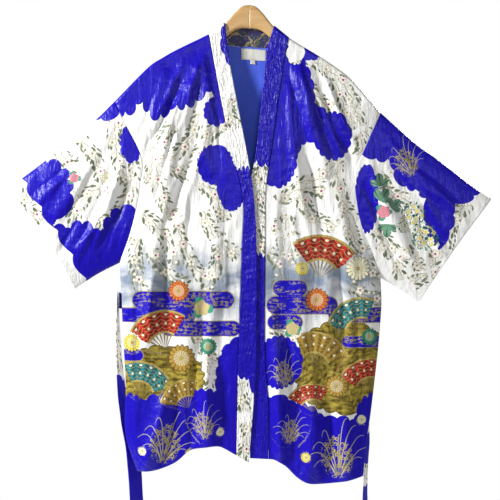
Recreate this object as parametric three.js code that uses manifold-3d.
// A satin kimono robe with a neckband and a belt, hanging on a wooden hanger.
// Millimetres, +Z up, the front faces -Y. "Right" is the wearer's right, at -X.
// The origin is the inside top of the hanger's hook. "drop" is the distance below it.
import * as THREE from "three";
import { mergeVertices } from "three/addons/utils/BufferGeometryUtils.js";
import Module from "manifold-3d";

const wasm = await Module();
wasm.setup();

// Cloth and seams.
const CLOTH = 1.3;
const BAND_THICK = 2.2;
const BELT_THICK = 1.6;
const BELT_WIDE = 36;
const HALF_SEAM = 0.15;

// Hollow of the robe, as half depths from its middle plane.
const HANGER_HOLLOW = 8.4;
const ARMHOLE_HOLLOW = 15;
const CUFF_HOLLOW = 16.5;
const BACK_EXTRA = 0.6;
const SHOULDER_ROLL = 6;
const SIDE_ROLL = 46;
const ARMHOLE_BLEND = 85;

// The right front laps over the left one, from a drop and from a share of its width.
const LAP = { step: 4.2, startDrop: 360, fullDrop: 450, startShare: 0.45 };

// Folds fade out towards the neckband, the shoulder line and the armhole seam.
const FOLD_FADE = { band: 30, shoulderStart: 8, shoulderFull: 60, sleeveShare: 0.25 };

// Hanger: 435 mm of shaped wood, 14 mm thick, hung a little out of level.
const WOOD_THICK = 14;
const WOOD_ROUND = 6;
const WOOD_CLEAR = 1.2;
const WOOD_NOSE_LIFT = 4;
const HANGER_TILT = 0.0577;
const WIRE_RADIUS = 2;
const HOOK_INSIDE = 18;
const SOCKET_DEPTH = 22;
const SOCKET_CLEAR = 0.3;

// Upper edge of the wood, and its height there, by distance from the middle.
const WOOD_PROFILE = [
  { out: 0, drop: 80, height: 53 },
  { out: 14, drop: 83, height: 50 },
  { out: 30, drop: 97, height: 41 },
  { out: 55, drop: 126, height: 31 },
  { out: 90, drop: 152, height: 28 },
  { out: 130, drop: 174, height: 26 },
  { out: 175, drop: 199, height: 25 },
  { out: 219, drop: 228, height: 24 },
];

// Half depth of the body's hollow by height.
const BODY_HOLLOW = [
  { drop: 0, deep: HANGER_HOLLOW },
  { drop: 210, deep: HANGER_HOLLOW },
  { drop: 300, deep: 14 },
  { drop: 400, deep: 17 },
  { drop: 500, deep: 18 },
  { drop: 750, deep: 20 },
  { drop: 1160, deep: 24 },
];

// Seam and edge lines of each side of the robe, read from the neck outwards and downwards.
const RIGHT = {
  sign: -1,
  neckOut: 91,
  bandOut: 55,
  shoulderEnd: { x: -303, drop: 298 },
  armhole: [
    { x: -303, drop: 298 },
    { x: -276, drop: 352 },
    { x: -240, drop: 431 },
    { x: -245, drop: 485 },
    { x: -253, drop: 535 },
    { x: -269, drop: 598 },
    { x: -291, drop: 658 },
  ],
  sideSeam: [
    { x: -291, drop: 658 },
    { x: -289, drop: 710 },
    { x: -287, drop: 755 },
    { x: -282, drop: 856 },
    { x: -278, drop: 928 },
    { x: -280, drop: 1025 },
    { x: -274, drop: 1066 },
    { x: -253, drop: 1126 },
  ],
  bandSeam: [
    { x: -53, drop: 348 },
    { x: -43, drop: 392 },
    { x: -15, drop: 516 },
    { x: -17, drop: 631 },
    { x: -26, drop: 912 },
    { x: -29, drop: 1088 },
  ],
  bandEdge: [
    { x: -51, drop: 157 },
    { x: -44, drop: 213 },
    { x: 0, drop: 445 },
    { x: 10, drop: 519 },
    { x: 15, drop: 609 },
    { x: 15, drop: 879 },
    { x: 9, drop: 976 },
    { x: -2, drop: 1104 },
  ],
  hem: [
    { x: -253, drop: 1126 },
    { x: -204, drop: 1120 },
    { x: -165, drop: 1104 },
    { x: -134, drop: 1079 },
    { x: -111, drop: 1072 },
    { x: -71, drop: 1068 },
    { x: -29, drop: 1088 },
  ],
  sleeveTop: [
    { x: -303, drop: 298 },
    { x: -345, drop: 339 },
    { x: -453, drop: 427 },
    { x: -537, drop: 490 },
  ],
  cuff: [
    { x: -537, drop: 490 },
    { x: -492, drop: 555 },
    { x: -453, drop: 611 },
    { x: -424, drop: 656 },
    { x: -393, drop: 717 },
  ],
  sleeveUnder: [
    { x: -291, drop: 658 },
    { x: -342, drop: 684 },
    { x: -393, drop: 717 },
  ],
};
const LEFT = {
  sign: 1,
  neckOut: 88,
  bandOut: 55,
  shoulderEnd: { x: 294, drop: 323 },
  armhole: [
    { x: 294, drop: 323 },
    { x: 253, drop: 415 },
    { x: 236, drop: 452 },
    { x: 237, drop: 500 },
    { x: 249, drop: 571 },
    { x: 273, drop: 631 },
    { x: 294, drop: 692 },
  ],
  sideSeam: [
    { x: 294, drop: 692 },
    { x: 296, drop: 751 },
    { x: 294, drop: 787 },
    { x: 289, drop: 847 },
    { x: 280, drop: 928 },
    { x: 271, drop: 1003 },
    { x: 264, drop: 1050 },
    { x: 255, drop: 1138 },
  ],
  bandSeam: [
    { x: 78, drop: 202 },
    { x: 51, drop: 391 },
    { x: 37, drop: 492 },
    { x: 35, drop: 609 },
    { x: 35, drop: 879 },
    { x: 42, drop: 969 },
    { x: 42, drop: 1097 },
  ],
  bandEdge: [
    { x: 45, drop: 160 },
    { x: 39, drop: 180 },
    { x: 28, drop: 285 },
    { x: 12, drop: 427 },
    { x: 2, drop: 474 },
    { x: -6, drop: 609 },
    { x: -6, drop: 879 },
    { x: -1, drop: 969 },
    { x: 1, drop: 1095 },
  ],
  hem: [
    { x: 255, drop: 1138 },
    { x: 177, drop: 1151 },
    { x: 132, drop: 1150 },
    { x: 107, drop: 1138 },
    { x: 78, drop: 1111 },
    { x: 57, drop: 1099 },
    { x: 42, drop: 1097 },
  ],
  sleeveTop: [
    { x: 294, drop: 323 },
    { x: 381, drop: 400 },
    { x: 413, drop: 422 },
    { x: 510, drop: 496 },
    { x: 543, drop: 517 },
  ],
  cuff: [
    { x: 543, drop: 517 },
    { x: 501, drop: 571 },
    { x: 471, drop: 611 },
    { x: 420, drop: 685 },
    { x: 381, drop: 746 },
  ],
  sleeveUnder: [
    { x: 294, drop: 692 },
    { x: 338, drop: 717 },
    { x: 381, drop: 746 },
  ],
};

// Back neckline, below the neckband, which leans back a little, and the back hem.
const NECKBAND_LEAN = 1.2;
const BACK_NECK = [
  { x: -52, drop: 168 },
  { x: 0, drop: 173 },
  { x: 50, drop: 174 },
];
const NECKBAND_EDGE = [
  { x: -30, drop: 129 },
  { x: 0, drop: 131 },
  { x: 30, drop: 133 },
];
const BACK_HEM = [
  { x: -253, drop: 1126 },
  { x: -200, drop: 1110 },
  { x: -134, drop: 1073 },
  { x: -71, drop: 1060 },
  { x: 0, drop: 1072 },
  { x: 60, drop: 1092 },
  { x: 120, drop: 1128 },
  { x: 190, drop: 1141 },
  { x: 255, drop: 1138 },
];

// Large folds: each is a soft ridge along a line, with its half width and its height.
const FRONT_FOLDS = [
  { x0: -118, d0: 190, x1: -232, d1: 520, half: 17, high: 11 },
  { x0: -150, d0: 300, x1: -205, d1: 575, half: 15, high: 9 },
  { x0: -96, d0: 180, x1: -98, d1: 470, half: 14, high: 7 },
  { x0: -185, d0: 225, x1: -225, d1: 370, half: 14, high: 6 },
  { x0: -190, d0: 950, x1: -240, d1: 1150, half: 20, high: 14 },
  { x0: -100, d0: 860, x1: -86, d1: 1130, half: 19, high: 15 },
  { x0: -150, d0: 620, x1: -138, d1: 960, half: 22, high: 9 },
  { x0: -215, d0: 640, x1: -238, d1: 900, half: 20, high: 9 },
  { x0: -78, d0: 480, x1: -70, d1: 800, half: 18, high: 8 },
  { x0: 96, d0: 210, x1: 178, d1: 470, half: 15, high: 11 },
  { x0: 120, d0: 200, x1: 214, d1: 430, half: 14, high: 8 },
  { x0: 88, d0: 250, x1: 112, d1: 560, half: 15, high: 8 },
  { x0: 196, d0: 470, x1: 236, d1: 720, half: 18, high: 9 },
  { x0: 62, d0: 820, x1: 68, d1: 1140, half: 15, high: 13 },
  { x0: 136, d0: 960, x1: 128, d1: 1180, half: 20, high: 14 },
  { x0: 205, d0: 900, x1: 222, d1: 1170, half: 21, high: 13 },
  { x0: 108, d0: 600, x1: 120, d1: 930, half: 20, high: 9 },
  { x0: 176, d0: 640, x1: 172, d1: 900, half: 20, high: 8 },
];
const BACK_FOLDS = [
  { x0: -60, d0: 240, x1: -200, d1: 640, half: 20, high: 9 },
  { x0: 60, d0: 250, x1: 195, d1: 620, half: 20, high: 9 },
  { x0: -4, d0: 330, x1: 6, d1: 980, half: 24, high: 8 },
  { x0: -215, d0: 760, x1: -228, d1: 1160, half: 22, high: 12 },
  { x0: -140, d0: 700, x1: -128, d1: 1150, half: 22, high: 13 },
  { x0: -70, d0: 800, x1: -62, d1: 1150, half: 20, high: 11 },
  { x0: 78, d0: 780, x1: 70, d1: 1160, half: 21, high: 13 },
  { x0: 150, d0: 690, x1: 146, d1: 1170, half: 22, high: 12 },
  { x0: 222, d0: 800, x1: 218, d1: 1180, half: 20, high: 11 },
];
const SLEEVE_FOLDS = [
  { x0: -285, d0: 470, x1: -370, d1: 690, half: 15, high: 8 },
  { x0: -300, d0: 360, x1: -440, d1: 560, half: 16, high: 7 },
  { x0: -345, d0: 590, x1: -398, d1: 665, half: 13, high: 6 },
  { x0: -440, d0: 465, x1: -480, d1: 520, half: 14, high: 6 },
  { x0: 275, d0: 470, x1: 372, d1: 700, half: 15, high: 8 },
  { x0: 300, d0: 390, x1: 440, d1: 600, half: 16, high: 7 },
  { x0: 350, d0: 470, x1: 480, d1: 540, half: 13, high: 6 },
  { x0: 405, d0: 610, x1: 430, d1: 650, half: 12, high: 5 },
];

// Belt: its back stretch, then each hanging end, with the angle its face has turned.
const BELT_DROP = 745;
const BELT_SAG = 14;
const BELT_MIDDLE = 4;
const BELT_HALF = 300;
const BELT_CLEAR = 1;
const LOOP_CLEAR = 0.45;
const BELT_END_RIGHT = [
  { x: -296.5, y: 6, drop: 724, turn: 90 },
  { x: -296, y: 8, drop: 800, turn: 84 },
  { x: -294, y: 16, drop: 880, turn: 78 },
  { x: -290, y: 28, drop: 950, turn: 66 },
  { x: -280, y: 42, drop: 1020, turn: 48 },
  { x: -268, y: 50, drop: 1085, turn: 40 },
  { x: -262, y: 50, drop: 1150, turn: 38 },
  { x: -258, y: 49, drop: 1215, turn: 41 },
];
const BELT_END_LEFT = [
  { x: 271, y: 26, drop: 722, turn: 0 },
  { x: 272, y: 28, drop: 800, turn: 8 },
  { x: 273, y: 33, drop: 870, turn: 34 },
  { x: 272, y: 40, drop: 940, turn: 58 },
  { x: 270, y: 46, drop: 1010, turn: 68 },
  { x: 268, y: 50, drop: 1080, turn: 62 },
  { x: 267, y: 52, drop: 1150, turn: 70 },
  { x: 265, y: 52, drop: 1228, turn: 66 },
];
const LOOP_OUT = { right: 266, left: 240 };
const LOOP_TALL = 58;
const LOOP_WIDE = 7;
const LABEL_CLEAR = 0.35;
const LABEL = { x0: -19, x1: 37, gap: 4, tall: 25, thick: 1 };
const SIZE_TAB = { x0: 2, x1: 13, gap: 29.4, tall: 9, thick: 1 };

// Rows run down a panel. The first few are close together, to roll over the shoulder.
const ARMHOLE_LENGTH = 385;
const BODY_LENGTH = 860;
const ARMHOLE_SHARE = ARMHOLE_LENGTH / BODY_LENGTH;
const ROLL_STEPS = [0, 1.2, 3, 6, 13];
const UNDERARM_STEPS = [13, 4, 0];
const ARMHOLE_ROWS = 9;
const SIDE_ROWS = 11;
const SLEEVE_COLUMNS = 9;

// Slopes of the directions square to the sleeve's top and its underside, at the armhole.
const SLEEVE_TOP_RISE = 0.96;
const SLEEVE_UNDER_FALL = 1.78;

/** Spreads count values evenly between two ends, leaving both ends out. */
function between(start, end, count) {
  return Array.from({ length: count }, (_, i) => start + ((end - start) * (i + 1)) / (count + 1));
}

const armholeMm = [
  ...ROLL_STEPS,
  ...between(ROLL_STEPS.at(-1), ARMHOLE_LENGTH - UNDERARM_STEPS[0], ARMHOLE_ROWS),
  ...UNDERARM_STEPS.map((step) => ARMHOLE_LENGTH - step),
];
const bodyMm = [
  ...armholeMm,
  ...between(ARMHOLE_LENGTH, BODY_LENGTH, SIDE_ROWS),
  BODY_LENGTH,
];

/** Reads a column of a table at a position, straight between its rows. */
function tableAt(rows, key, value, at) {
  if (at <= rows[0][key]) {
    return rows[0][value];
  }
  for (let i = 1; i < rows.length; i += 1) {
    if (at <= rows[i][key]) {
      const t = (at - rows[i - 1][key]) / (rows[i][key] - rows[i - 1][key]);
      return THREE.MathUtils.lerp(rows[i - 1][value], rows[i][value], t);
    }
  }
  return rows.at(-1)[value];
}

/** A smooth line through the rows of an edge table, in the middle plane. */
function lineOf(rows) {
  const points = rows.map((row) => new THREE.Vector3(row.x, 0, -row.drop));
  const line = new THREE.CatmullRomCurve3(points, false, "centripetal");
  line.arcLengthDivisions = 400;
  return line;
}

const woodLine = new THREE.CatmullRomCurve3(
  WOOD_PROFILE.map((row) => new THREE.Vector3(row.out, 0, -row.drop)),
  false,
  "centripetal",
);
const woodSamples = woodLine.getPoints(60).map((p) => ({ out: p.x, drop: -p.z }));

/** Drop of the wood's upper edge at x, with the hanger's tilt. */
function woodTop(x) {
  return tableAt(woodSamples, "out", "drop", Math.abs(x)) + HANGER_TILT * x;
}

/** The shoulder line of one side, from the armhole's top to a distance out from the neck. */
function shoulderRows(side, neckOut) {
  const outs = [219, 197, 175, 152, 130, 110].filter((out) => out > neckOut + 8);
  const onWood = [...outs, neckOut].map((out) => ({
    x: side.sign * out,
    drop: woodTop(side.sign * out) - WOOD_CLEAR,
  }));
  return [side.shoulderEnd, ...onWood];
}

/** A quarter circle's rise, from 0 at the edge to 1 at its radius. */
function roll(share) {
  const left = 1 - Math.min(Math.max(share, 0), 1);
  return Math.sqrt(1 - left * left);
}

/** How open a flattened tube is at a share of the way across it. */
function lens(share) {
  return Math.sqrt(Math.sin(Math.PI * Math.min(Math.max(share, 0), 1)));
}

/** Height of the folds at a place, from the rows of a fold table. */
function foldHeight(folds, x, drop) {
  let height = 0;
  for (const fold of folds) {
    const dx = fold.x1 - fold.x0;
    const dd = fold.d1 - fold.d0;
    const length = Math.hypot(dx, dd);
    const t = ((x - fold.x0) * dx + (drop - fold.d0) * dd) / (length * length);
    if (t <= 0 || t >= 1) {
      continue;
    }
    const away = Math.abs((x - fold.x0) * dd - (drop - fold.d0) * dx) / length;
    const fade = Math.sqrt(Math.sin(Math.PI * t));
    height = Math.max(height, fold.high * fade * Math.exp(-((away / fold.half) ** 2)));
  }
  return height;
}

/** Points of a patch between four edges, in the middle plane. */
function patch(startEdge, endEdge, topEdge, bottomEdge, downShares, acrossShares) {
  const corner = (edge, end) => edge[end ? edge.length - 1 : 0];
  return downShares.map((v, i) =>
    acrossShares.map((u, j) => {
      const point = new THREE.Vector3();
      point.addScaledVector(startEdge[i], 1 - u).addScaledVector(endEdge[i], u);
      point.addScaledVector(topEdge[j], 1 - v).addScaledVector(bottomEdge[j], v);
      point.addScaledVector(corner(topEdge, false), -(1 - u) * (1 - v));
      point.addScaledVector(corner(topEdge, true), -u * (1 - v));
      point.addScaledVector(corner(bottomEdge, false), -(1 - u) * v);
      point.addScaledVector(corner(bottomEdge, true), -u * v);
      return point;
    }),
  );
}

/** Directions square to a grid of points, turned to face the given side of the cloth. */
function gridNormals(grid, facing) {
  const rows = grid.length;
  const columns = grid[0].length;
  const at = (i, j) => grid[Math.min(Math.max(i, 0), rows - 1)][Math.min(Math.max(j, 0), columns - 1)];
  return grid.map((row, i) =>
    row.map((_, j) => {
      const down = at(i + 1, j).clone().sub(at(i - 1, j));
      const across = at(i, j + 1).clone().sub(at(i, j - 1));
      const normal = down.cross(across).normalize();
      return normal.y * facing < 0 ? normal.negate() : normal;
    }),
  );
}

/** A closed wall: the grid is its inner face, moved out along the normals for its outer one. */
function wallGeometry(grid, normals, thick) {
  const rows = grid.length;
  const columns = grid[0].length;
  const positions = [];
  const index = [];
  const inner = (i, j) => i * columns + j;
  const outer = (i, j) => rows * columns + i * columns + j;
  grid.flat().forEach((p) => positions.push(p.x, p.y, p.z));
  grid.forEach((row, i) =>
    row.forEach((p, j) => {
      const q = p.clone().addScaledVector(normals[i][j], thick);
      positions.push(q.x, q.y, q.z);
    }),
  );
  const quad = (a, b, c, d) => index.push(a, b, c, a, c, d);
  for (let i = 0; i + 1 < rows; i += 1) {
    for (let j = 0; j + 1 < columns; j += 1) {
      quad(inner(i, j), inner(i, j + 1), inner(i + 1, j + 1), inner(i + 1, j));
      quad(outer(i, j), outer(i + 1, j), outer(i + 1, j + 1), outer(i, j + 1));
    }
  }
  for (let j = 0; j + 1 < columns; j += 1) {
    quad(inner(0, j), outer(0, j), outer(0, j + 1), inner(0, j + 1));
    const last = rows - 1;
    quad(inner(last, j), inner(last, j + 1), outer(last, j + 1), outer(last, j));
  }
  for (let i = 0; i + 1 < rows; i += 1) {
    quad(inner(i, 0), inner(i + 1, 0), outer(i + 1, 0), outer(i, 0));
    const last = columns - 1;
    quad(inner(i, last), outer(i, last), outer(i + 1, last), inner(i + 1, last));
  }
  return facingOut(positions, index);
}

/** Builds a geometry whose closed surface has its faces pointing out. */
function facingOut(positions, index) {
  let volume = 0;
  const at = (k) => new THREE.Vector3().fromArray(positions, 3 * k);
  for (let k = 0; k < index.length; k += 3) {
    volume += at(index[k]).dot(at(index[k + 1]).cross(at(index[k + 2])));
  }
  const ordered = volume < 0 ? index.map((_, k) => index[k - (k % 3) + [0, 2, 1][k % 3]]) : index;
  const geometry = new THREE.BufferGeometry();
  geometry.setAttribute("position", new THREE.Float32BufferAttribute(positions, 3));
  geometry.setIndex(ordered);
  return geometry;
}

/** The direction square to an edge, in the middle plane, on the garment's outside. */
function outwards(edge, k, towards) {
  const next = edge[Math.min(k + 1, edge.length - 1)];
  const last = edge[Math.max(k - 1, 0)];
  const run = next.clone().sub(last);
  const square = new THREE.Vector3(-run.z, 0, run.x).normalize();
  return square.dot(towards) < 0 ? square.negate() : square;
}

const UP = new THREE.Vector3(0, 0, 1);
const DOWN = new THREE.Vector3(0, 0, -1);
const ARMHOLE_SHARES = armholeMm.map((mm) => mm / ARMHOLE_LENGTH);
const BODY_SHARES = bodyMm.map((mm) => mm / BODY_LENGTH);
const LAST_ARMHOLE_ROW = armholeMm.length - 1;

/** Edges of one side, sampled once, so that the pieces that meet there share their points. */
function sampleSide(side) {
  const armhole = lineOf(side.armhole);
  const sideSeam = lineOf(side.sideSeam);
  const neck = { x: side.sign * side.neckOut, drop: woodTop(side.sign * side.neckOut) - WOOD_CLEAR };
  const neckEdge = { x: side.sign * side.bandOut, drop: woodTop(side.sign * side.bandOut) - WOOD_CLEAR };
  const bandSeam = lineOf([neck, ...side.bandSeam]);
  const bandEdge = lineOf([neckEdge, ...side.bandEdge]);
  const outer = BODY_SHARES.map((share, i) =>
    i <= LAST_ARMHOLE_ROW
      ? armhole.getPointAt(Math.min(share / ARMHOLE_SHARE, 1))
      : sideSeam.getPointAt((share - ARMHOLE_SHARE) / (1 - ARMHOLE_SHARE)),
  );
  return {
    outer,
    seam: BODY_SHARES.map((share) => bandSeam.getPointAt(share)),
    edge: BODY_SHARES.map((share) => bandEdge.getPointAt(share)),
    out: new THREE.Vector3(side.sign, 0, 0),
    topOut: new THREE.Vector3(side.sign, 0, SLEEVE_TOP_RISE).normalize(),
    underOut: new THREE.Vector3(side.sign, 0, -SLEEVE_UNDER_FALL).normalize(),
  };
}

const sampled = new Map([
  [RIGHT, sampleSide(RIGHT)],
  [LEFT, sampleSide(LEFT)],
]);

/** A direction made of two others. */
function mixed(first, second, secondShare, firstShare) {
  return first.clone().multiplyScalar(firstShare).addScaledVector(second, secondShare).normalize();
}

/** Half depth of the hollow at each row of the armhole seam and side seam. */
function edgeHollow(row) {
  return row <= LAST_ARMHOLE_ROW ? ARMHOLE_HOLLOW * lens(ARMHOLE_SHARES[row]) : 0;
}

/** Wall direction at a row of the armhole and side seam, shared by the pieces that meet there. */
function edgeNormal(side, row, facing) {
  const edges = sampled.get(side);
  if (row > LAST_ARMHOLE_ROW) {
    return outwards(edges.outer, row, edges.out);
  }
  const open = lens(ARMHOLE_SHARES[row]) ** 1.5;
  const end = ARMHOLE_SHARES[row] < 0.5 ? edges.topOut : edges.underOut;
  return mixed(end, new THREE.Vector3(0, facing, 0), open, 1 - open);
}

/** Wall direction where cloth rolls over the shoulder, from straight up to straight out. */
function rollNormal(up, mm, facing) {
  const share = Math.min(mm / SHOULDER_ROLL, 1);
  return mixed(up, new THREE.Vector3(0, facing, 0), roll(share), 1 - share);
}

/** Half depth of the body's hollow at a place away from its edges. */
function plateau(drop) {
  return tableAt(BODY_HOLLOW, "drop", "deep", drop);
}

/** How far the right front stands before the left one, where it laps over it. */
function lap(side, drop, nearBand) {
  const start = THREE.MathUtils.smoothstep(drop, LAP.startDrop, LAP.fullDrop);
  return side === RIGHT ? LAP.step * start * nearBand : 0;
}

/** Share of the body's depth that a place has, by its distance from the side. */
function riseFrom(row, fromSide) {
  const open = row <= LAST_ARMHOLE_ROW ? lens(ARMHOLE_SHARES[row]) : 0;
  const reach = THREE.MathUtils.lerp(SIDE_ROLL, ARMHOLE_BLEND, open);
  const atSleeve = THREE.MathUtils.smoothstep(fromSide, 0, reach);
  return THREE.MathUtils.lerp(roll(fromSide / reach), atSleeve, open);
}

/** Share of their height that folds have at a row, below the shoulder line. */
function foldsBelowTop(row) {
  return THREE.MathUtils.smoothstep(bodyMm[row], FOLD_FADE.shoulderStart, FOLD_FADE.shoulderFull);
}

/** Half depth at a place of the body, from its edge's and its full half depth and its folds. */
function halfDepth(row, full, rise, folds) {
  const edge = edgeHollow(row);
  return HALF_SEAM + Math.max(edge + (full - edge) * rise, 0) + folds;
}

/** Half depth of a front at its band seam. */
function bandHollow(side, row, drop) {
  return HALF_SEAM + roll(bodyMm[row] / SHOULDER_ROLL) * (plateau(drop) + lap(side, drop, 1));
}

/** Moves the points of a column or a row a little, to part two pieces at their seam. */
function pull(points, direction, distance) {
  points.forEach((p) => p.addScaledVector(direction, distance));
}

/** Shares across a front, close together where the side seam turns. */
const FRONT_SHARES = [0, 0.008, 0.025, 0.06, 0.12, ...between(0.12, 1, 7), 1];

/** One front: from the shoulder to the hem, and from the side seam to the neckband. */
function frontPanel(side) {
  const edges = sampled.get(side);
  const top = lineOf(shoulderRows(side, side.neckOut));
  const hem = lineOf(side.hem);
  const topEdge = FRONT_SHARES.map((share) => top.getPointAt(share));
  const hemEdge = FRONT_SHARES.map((share) => hem.getPointAt(share));
  const grid = patch(edges.outer, edges.seam, topEdge, hemEdge, BODY_SHARES, FRONT_SHARES);
  grid.forEach((row, i) => {
    const wide = row[0].distanceTo(row.at(-1));
    row.forEach((p, j) => {
      const share = FRONT_SHARES[j];
      const drop = -p.z;
      const fromSide = share * wide;
      const rise = riseFrom(i, fromSide);
      const nearBand = THREE.MathUtils.smoothstep(share, LAP.startShare, 1);
      const full = (plateau(drop) + lap(side, drop, nearBand)) * roll(bodyMm[i] / SHOULDER_ROLL);
      const fromBand = THREE.MathUtils.smoothstep(wide - fromSide, 0, FOLD_FADE.band);
      const folds = foldHeight(FRONT_FOLDS, p.x, drop) * rise * fromBand * foldsBelowTop(i);
      p.y = -halfDepth(i, full, rise, folds);
    });
    row.at(-1).y = -bandHollow(side, i, -row.at(-1).z);
  });
  const normals = gridNormals(grid, -1);
  normals.forEach((row, i) => {
    row[0] = edgeNormal(side, i, -1);
    row[row.length - 1] = rollNormal(UP, bodyMm[i], -1);
  });
  normals[0].forEach((_, j) => {
    normals[0][j] = j === 0 ? edgeNormal(side, 0, -1) : outwards(topEdge, j, UP);
  });
  normals[0][normals[0].length - 1] = UP.clone();
  pull(grid.slice(0, LAST_ARMHOLE_ROW + 1).map((row) => row[0]), edges.out, -HALF_SEAM);
  pull(grid.map((row) => row.at(-1)), edges.out, HALF_SEAM);
  return wallGeometry(grid, normals, CLOTH);
}

/** Half of a sleeve: facing is -1 for its front layer and 1 for its back one. */
function sleevePanel(side, facing) {
  const edges = sampled.get(side);
  const root = edges.outer.slice(0, LAST_ARMHOLE_ROW + 1).map((p) => p.clone());
  const cuff = lineOf(side.cuff);
  const top = lineOf(side.sleeveTop);
  const under = lineOf(side.sleeveUnder);
  const across = Array.from({ length: SLEEVE_COLUMNS + 1 }, (_, j) => j / SLEEVE_COLUMNS);
  const topEdge = across.map((share) => top.getPointAt(share));
  const underEdge = across.map((share) => under.getPointAt(share));
  const cuffEdge = ARMHOLE_SHARES.map((share) => cuff.getPointAt(share));
  const grid = patch(root, cuffEdge, topEdge, underEdge, ARMHOLE_SHARES, across);
  grid.forEach((row, i) =>
    row.forEach((p, j) => {
      const deep = THREE.MathUtils.lerp(ARMHOLE_HOLLOW, CUFF_HOLLOW, across[j]);
      const fromSeam = THREE.MathUtils.smoothstep(across[j], 0, FOLD_FADE.sleeveShare);
      const inside = lens(ARMHOLE_SHARES[i]) ** 3 * fromSeam;
      const folds = foldHeight(SLEEVE_FOLDS, p.x, -p.z) * inside;
      p.y = facing * (HALF_SEAM + deep * lens(ARMHOLE_SHARES[i]) + folds);
    }),
  );
  const normals = gridNormals(grid, facing);
  normals.forEach((row, i) => {
    row[0] = edgeNormal(side, i, facing);
  });
  for (let j = 1; j < across.length; j += 1) {
    normals[0][j] = outwards(topEdge, j, UP);
    normals[LAST_ARMHOLE_ROW][j] = outwards(underEdge, j, DOWN);
  }
  pull(grid.map((row) => row[0]), edges.out, HALF_SEAM);
  return wallGeometry(grid, normals, CLOTH);
}

/** One front neckband: a folded strip from the shoulder down to the hem. */
function bandPanel(side) {
  const edges = sampled.get(side);
  const shares = [0, 0.33, 0.67, 1];
  const grid = BODY_SHARES.map((_, i) =>
    shares.map((share) => {
      const p = edges.seam[i].clone().lerp(edges.edge[i], share);
      p.y = -bandHollow(side, i, -edges.seam[i].z);
      return p;
    }),
  );
  const up = outwards([edges.seam[0], edges.edge[0]], 0, UP);
  const normals = grid.map((row, i) =>
    row.map((_, j) => rollNormal(i === 0 && j > 0 ? up : UP, bodyMm[i], -1)),
  );
  pull(grid.map((row) => row[0]), edges.out, -HALF_SEAM);
  return wallGeometry(grid, normals, BAND_THICK);
}

const neckLine = lineOf([
  { x: -RIGHT.neckOut, drop: woodTop(-RIGHT.neckOut) - WOOD_CLEAR },
  ...BACK_NECK,
  { x: LEFT.neckOut, drop: woodTop(LEFT.neckOut) - WOOD_CLEAR },
]);
const neckEdgeLine = lineOf([
  { x: -RIGHT.bandOut, drop: woodTop(-RIGHT.bandOut) - WOOD_CLEAR },
  ...NECKBAND_EDGE,
  { x: LEFT.bandOut, drop: woodTop(LEFT.bandOut) - WOOD_CLEAR },
]);
const neckLong = neckLine.getLength();
const neckStarts = [0, 1.2, 3, 6.5];
const neckMm = [
  ...neckStarts,
  ...between(neckStarts.at(-1), neckLong - neckStarts.at(-1), 7),
  ...neckStarts.map((mm) => neckLong - mm).reverse(),
];

/** How far a place on the back neckline is from the nearer shoulder seam. */
function fromNeckEnds(mm) {
  return Math.min(mm, neckLong - mm);
}

/** Wall direction along the back neckline, shared by the back and its neckband. */
function neckNormal(mm) {
  return rollNormal(UP, fromNeckEnds(mm), 1);
}

/** Half depth along the back neckline. */
function neckHollow(mm) {
  return HALF_SEAM + roll(fromNeckEnds(mm) / SHOULDER_ROLL) * (HANGER_HOLLOW + BACK_EXTRA);
}

/** Half depth of the back's hollow where the grid has its point. */
function backDepth(x, drop, fromSide, row, neckReach) {
  const rise = riseFrom(row, fromSide);
  const folds = foldHeight(BACK_FOLDS, x, drop) * rise * foldsBelowTop(row);
  const full = (plateau(drop) + BACK_EXTRA) * roll((bodyMm[row] + neckReach) / SHOULDER_ROLL);
  return halfDepth(row, full, rise, folds);
}

/** The back: one piece from side seam to side seam, below the shoulders and the neckband. */
function backGrid() {
  const right = sampled.get(RIGHT);
  const left = sampled.get(LEFT);
  const rightTop = lineOf(shoulderRows(RIGHT, RIGHT.neckOut));
  const leftTop = lineOf(shoulderRows(LEFT, LEFT.neckOut));
  const shoulderShares = [0, 0.01, 0.035, 0.08, 0.16, ...between(0.16, 1, 4)];
  const topEdge = [
    ...shoulderShares.map((share) => rightTop.getPointAt(share)),
    ...neckMm.map((mm) => neckLine.getPointAt(mm / neckLong)),
    ...shoulderShares.map((share) => leftTop.getPointAt(share)).reverse(),
  ];
  const neckAt = topEdge.map((_, j) => {
    const k = j - shoulderShares.length;
    return k >= 0 && k < neckMm.length ? neckMm[k] : null;
  });
  const span = topEdge.at(-1).x - topEdge[0].x;
  const across = topEdge.map((p) => (p.x - topEdge[0].x) / span);
  const hem = lineOf(BACK_HEM);
  const hemEdge = across.map((share) => hem.getPointAt(share));
  const grid = patch(right.outer, left.outer, topEdge, hemEdge, BODY_SHARES, across);
  grid.forEach((row, i) => {
    const wide = row.at(-1).x - row[0].x;
    row.forEach((p, j) => {
      const fromSide = Math.min(across[j], 1 - across[j]) * wide;
      const neckReach = neckAt[j] === null ? 0 : fromNeckEnds(neckAt[j]);
      p.y = backDepth(p.x, -p.z, fromSide, i, neckReach);
    });
  });
  return { grid, topEdge, neckAt };
}

const back = backGrid();

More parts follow.
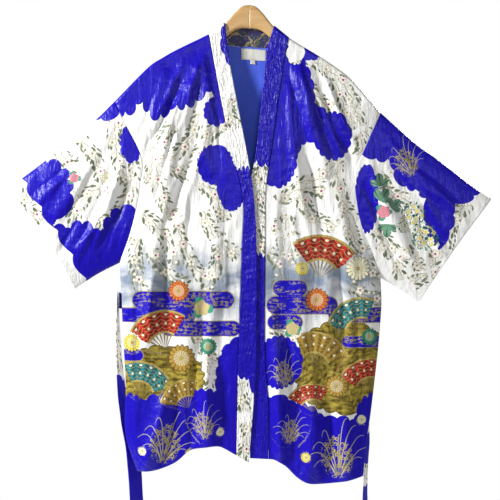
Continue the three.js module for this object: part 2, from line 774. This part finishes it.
/** The back panel as a wall. */
function backPanel() {
  const { grid, topEdge, neckAt } = back;
  const normals = gridNormals(grid, 1);
  normals.forEach((row, i) => {
    row[0] = edgeNormal(RIGHT, i, 1);
    row[row.length - 1] = edgeNormal(LEFT, i, 1);
  });
  for (let j = 1; j + 1 < topEdge.length; j += 1) {
    normals[0][j] = neckAt[j] === null ? outwards(topEdge, j, UP) : neckNormal(neckAt[j]);
  }
  const armholes = grid.slice(0, LAST_ARMHOLE_ROW + 1);
  pull(armholes.map((row) => row[0]), sampled.get(RIGHT).out, -HALF_SEAM);
  pull(armholes.map((row) => row.at(-1)), sampled.get(LEFT).out, -HALF_SEAM);
  pull(grid[0].filter((_, j) => neckAt[j] !== null), DOWN, HALF_SEAM);
  return wallGeometry(grid, normals, CLOTH);
}

/** The neckband behind the neck, standing up from the back neckline. */
function neckbandBack() {
  const grid = [0, 0.33, 0.67, 1].map((share) =>
    neckMm.map((mm) => {
      const low = neckLine.getPointAt(mm / neckLong);
      const high = neckEdgeLine.getPointAt(mm / neckLong);
      const p = low.lerp(high, share);
      p.y = neckHollow(mm) + share * NECKBAND_LEAN * roll(fromNeckEnds(mm) / SHOULDER_ROLL);
      return p;
    }),
  );
  const normals = grid.map((row) => row.map((_, j) => neckNormal(neckMm[j])));
  pull(grid[0], UP, 3 * HALF_SEAM);
  pull(grid.map((row) => row[0]), sampled.get(LEFT).out, 3 * HALF_SEAM);
  pull(grid.map((row) => row.at(-1)), sampled.get(RIGHT).out, 3 * HALF_SEAM);
  return wallGeometry(grid, normals, BAND_THICK);
}

/** A small tab that lies on the inside of the back, a little off its cloth. */
function labelPanel(size) {
  const shares = [0, 0.25, 0.5, 0.75, 1];
  const top = (x) => -neckLine.getPointAt((x + RIGHT.neckOut) / (RIGHT.neckOut + LEFT.neckOut)).z;
  const grid = shares.map((down) =>
    shares.map((share) => {
      const x = THREE.MathUtils.lerp(size.x0, size.x1, share);
      const drop = top(x) + size.gap + down * size.tall;
      const y = HALF_SEAM + plateau(drop) + BACK_EXTRA + foldHeight(BACK_FOLDS, x, drop);
      return new THREE.Vector3(x, y - LABEL_CLEAR, -drop);
    }),
  );
  const normals = grid.map((row) => row.map(() => new THREE.Vector3(0, -1, 0)));
  return wallGeometry(grid, normals, size.thick);
}

/** A flat strip swept along its rows, its width turned about the vertical. */
function stripGeometry(rows, wide, thick) {
  const places = rows.map((row) => new THREE.Vector3(row.x, row.y, -row.drop));
  const path = new THREE.CatmullRomCurve3(places);
  const steps = 22;
  const grid = Array.from({ length: steps + 1 }, (_, i) => {
    const place = path.getPoint(i / steps);
    const turn = THREE.MathUtils.degToRad(tableAt(rows, "drop", "turn", -place.z));
    const face = new THREE.Vector3(Math.cos(turn), Math.sin(turn), 0);
    return [-0.5, 0, 0.5].map((share) => place.clone().addScaledVector(face, share * wide));
  });
  const normals = grid.map((row) => {
    const face = row[2].clone().sub(row[0]).normalize();
    return row.map(() => new THREE.Vector3(-face.y, face.x, 0));
  });
  return wallGeometry(grid, normals, thick);
}

const backRows = back.grid.map((row) => row.map((p) => ({ x: p.x, y: p.y, drop: -p.z })));

/** Outer face of the back at a place, found between its rows and columns. */
function backOuter(x, drop) {
  const cross = backRows.map((row) => ({
    drop: tableAt(row, "x", "drop", x),
    y: tableAt(row, "x", "y", x),
  }));
  return tableAt(cross, "drop", "y", drop) + CLOTH;
}

/** Drop of the belt's middle line behind the back. */
function beltDrop(x) {
  return BELT_DROP + BELT_SAG * (1 - ((x - BELT_MIDDLE) / BELT_HALF) ** 2);
}

/** The most that the back stands out near a place, over a square of the given half size. */
function backStand(x, drop, halfSize) {
  const offs = [-1, -0.5, 0, 0.5, 1].map((share) => share * halfSize);
  return Math.max(...offs.flatMap((dx) => offs.map((dd) => backOuter(x + dx, drop + dd))));
}

/** Inner face of the belt behind the back: it bridges the folds that it lies on. */
function beltInner(x) {
  return backStand(x, beltDrop(x), BELT_WIDE / 2) + BELT_CLEAR;
}

/** The stretch of the belt behind the back, from one side to the other. */
function beltBack() {
  const endRight = BELT_END_RIGHT[0];
  const startX = endRight.x + 1.3;
  const endX = BELT_END_LEFT[0].x + BELT_WIDE / 2;
  const xs = [startX, startX + 4, startX + 9, -270, ...between(-270, endX, 17), endX];
  const grid = [-0.5, 0, 0.5].map((share) =>
    xs.map((x) => new THREE.Vector3(x, beltInner(x), -(beltDrop(x) + share * BELT_WIDE))),
  );
  const normals = grid.map((row) => row.map(() => new THREE.Vector3(0, 1, 0)));
  return wallGeometry(grid, normals, BELT_THICK);
}

/** A narrow vertical strap that holds the belt against the back, beside the side seam. */
function beltLoop(side) {
  const x = side === RIGHT ? -LOOP_OUT.right : LOOP_OUT.left;
  const base = beltDrop(x);
  const beltStand = Math.max(...[-LOOP_WIDE, 0, LOOP_WIDE].map((dx) => beltInner(x + dx)));
  const over = beltStand + BELT_THICK + 2 * LOOP_CLEAR;
  const shares = [0, 0.04, 0.12, 0.2, 0.5, 0.8, 0.88, 0.96, 1];
  const bow = [0, 0.15, 0.8, 1, 1, 1, 0.8, 0.15, 0];
  const grid = shares.map((share, k) => {
    const drop = base + (share - 0.5) * LOOP_TALL;
    const foot = backStand(x, drop, LOOP_WIDE / 2) + LOOP_CLEAR;
    const y = THREE.MathUtils.lerp(foot, Math.max(over, foot), bow[k]);
    return [-0.5, 0.5].map((part) => new THREE.Vector3(x + part * LOOP_WIDE, y, -drop));
  });
  const normals = gridNormals(grid, 1);
  return wallGeometry(grid, normals, CLOTH);
}

/** Turns a closed geometry into a solid that can be cut or joined. */
function solidOf(geometry) {
  const plain = geometry.clone();
  plain.deleteAttribute("normal");
  plain.deleteAttribute("uv");
  const merged = mergeVertices(plain, 1e-4);
  const mesh = new wasm.Mesh({
    numProp: 3,
    vertProperties: new Float32Array(merged.attributes.position.array),
    triVerts: new Uint32Array(merged.index.array),
  });
  return new wasm.Manifold(mesh);
}

/** Turns a solid back into a geometry. */
function geometryOf(solid) {
  const mesh = solid.getMesh();
  const geometry = new THREE.BufferGeometry();
  geometry.setAttribute("position", new THREE.BufferAttribute(new Float32Array(mesh.vertProperties), 3));
  geometry.setIndex(new THREE.BufferAttribute(new Uint32Array(mesh.triVerts), 1));
  return geometry;
}

/** The wood of the hanger: its side view, rounded on every edge, level and in one. */
function woodSolid() {
  const last = WOOD_PROFILE.at(-1);
  const upper = woodLine.getPoints(14);
  const lower = WOOD_PROFILE.slice(0, -1).map((row) => new THREE.Vector2(row.out, -(row.drop + row.height)));
  const radius = last.height / 2;
  const nose = new THREE.Vector2(last.out - radius, -(last.drop + radius - WOOD_NOSE_LIFT));
  const rightHalf = upper.slice(0, -1).map((p) => new THREE.Vector2(p.x, p.z));
  for (let k = 0; k <= 4; k += 1) {
    const angle = THREE.MathUtils.degToRad(50 - 35 * k);
    rightHalf.push(new THREE.Vector2(radius, 0).rotateAround(new THREE.Vector2(), angle).add(nose));
  }
  rightHalf.push(...lower.reverse());
  const leftHalf = rightHalf.slice(1, -1).reverse().map((p) => new THREE.Vector2(-p.x, p.y));
  const outline = new THREE.Shape([...rightHalf, ...leftHalf]);
  const geometry = new THREE.ExtrudeGeometry(outline, {
    depth: WOOD_THICK - 2 * WOOD_ROUND,
    bevelEnabled: true,
    bevelThickness: WOOD_ROUND,
    bevelSize: WOOD_ROUND,
    bevelOffset: -WOOD_ROUND,
    bevelSegments: 3,
    steps: 1,
  });
  geometry.translate(0, 0, WOOD_ROUND - WOOD_THICK / 2);
  geometry.rotateX(Math.PI / 2);
  const shear = new THREE.Matrix4().set(1, 0, 0, 0, 0, 1, 0, 0, -HANGER_TILT, 0, 1, 0, 0, 0, 0, 1);
  geometry.applyMatrix4(shear);
  const bore = WIRE_RADIUS + SOCKET_CLEAR;
  const socket = new THREE.CylinderGeometry(bore, bore, 2 * SOCKET_DEPTH, 12);
  socket.rotateX(Math.PI / 2);
  socket.translate(0, 0, -WOOD_PROFILE[0].drop);
  return solidOf(geometry).subtract(solidOf(socket));
}

const wood = woodSolid();

/** One arm of the hanger, cut off at the middle joint. */
function hangerArm(side) {
  const reach = 2 * WOOD_PROFILE.at(-1).out;
  const half = new THREE.BoxGeometry(reach, 4 * WOOD_THICK, reach);
  half.translate(side.sign * (reach / 2 + HALF_SEAM), 0, -WOOD_PROFILE[4].drop);
  return geometryOf(wood.intersect(solidOf(half)));
}

/** The wire hook: a straight stem, then most of a circle over the rail. */
function hookGeometry() {
  const centre = HOOK_INSIDE + WIRE_RADIUS;
  const at = (x, z) => new THREE.Vector3(x, 0, z);
  const points = [
    at(0, -WOOD_PROFILE[0].drop - SOCKET_DEPTH + 2),
    at(0, -WOOD_PROFILE[0].drop + 4),
    at(0, -58),
    at(2, -48),
    at(10, -38),
  ];
  for (let k = 0; k <= 8; k += 1) {
    const angle = THREE.MathUtils.degToRad(-25 + 28 * k);
    points.push(at(centre * Math.cos(angle), -HOOK_INSIDE + centre * Math.sin(angle)));
  }
  const sides = 10;
  const corners = Array.from({ length: sides }, (_, k) => {
    const angle = (2 * Math.PI * k) / sides;
    return new THREE.Vector2(WIRE_RADIUS * Math.cos(angle), WIRE_RADIUS * Math.sin(angle));
  });
  const route = new THREE.CatmullRomCurve3(points);
  return new THREE.ExtrudeGeometry(new THREE.Shape(corners), { extrudePath: route, steps: 34 });
}

const FINISHES = {
  satin: { color: 0x2a20c8, roughness: 0.35, metalness: 0 },
  bandSatin: { color: 0x2a1ed0, roughness: 0.38, metalness: 0 },
  belt: { color: 0x261cc0, roughness: 0.38, metalness: 0 },
  label: { color: 0xf2efe4, roughness: 0.8, metalness: 0 },
  wood: { color: 0xd7af6e, roughness: 0.45, metalness: 0 },
  steel: { color: 0xc8c8cc, roughness: 0.25, metalness: 1 },
};

const robe = new THREE.Group();

/** Adds one named piece to the robe. */
function addPiece(name, geometry, finish) {
  const mesh = new THREE.Mesh(geometry, new THREE.MeshStandardMaterial(FINISHES[finish]));
  mesh.name = name;
  robe.add(mesh);
}

addPiece("back", backPanel(), "satin");
for (const [word, side] of [["right", RIGHT], ["left", LEFT]]) {
  addPiece(`front_${word}`, frontPanel(side), "satin");
  addPiece(`sleeve_${word}_front`, sleevePanel(side, -1), "satin");
  addPiece(`sleeve_${word}_back`, sleevePanel(side, 1), "satin");
  addPiece(`neckband_${word}`, bandPanel(side), "bandSatin");
  addPiece(`belt_loop_${word}`, beltLoop(side), "belt");
  addPiece(`hanger_arm_${word}`, hangerArm(side), "wood");
}
addPiece("neckband_back", neckbandBack(), "bandSatin");
addPiece("belt_back", beltBack(), "belt");
addPiece("belt_end_right", stripGeometry(BELT_END_RIGHT, BELT_WIDE, BELT_THICK), "belt");
addPiece("belt_end_left", stripGeometry(BELT_END_LEFT, BELT_WIDE, BELT_THICK), "belt");
addPiece("label", labelPanel(LABEL), "label");
addPiece("size_tab", labelPanel(SIZE_TAB), "label");
addPiece("hanger_hook", hookGeometry(), "steel");

export default robe;
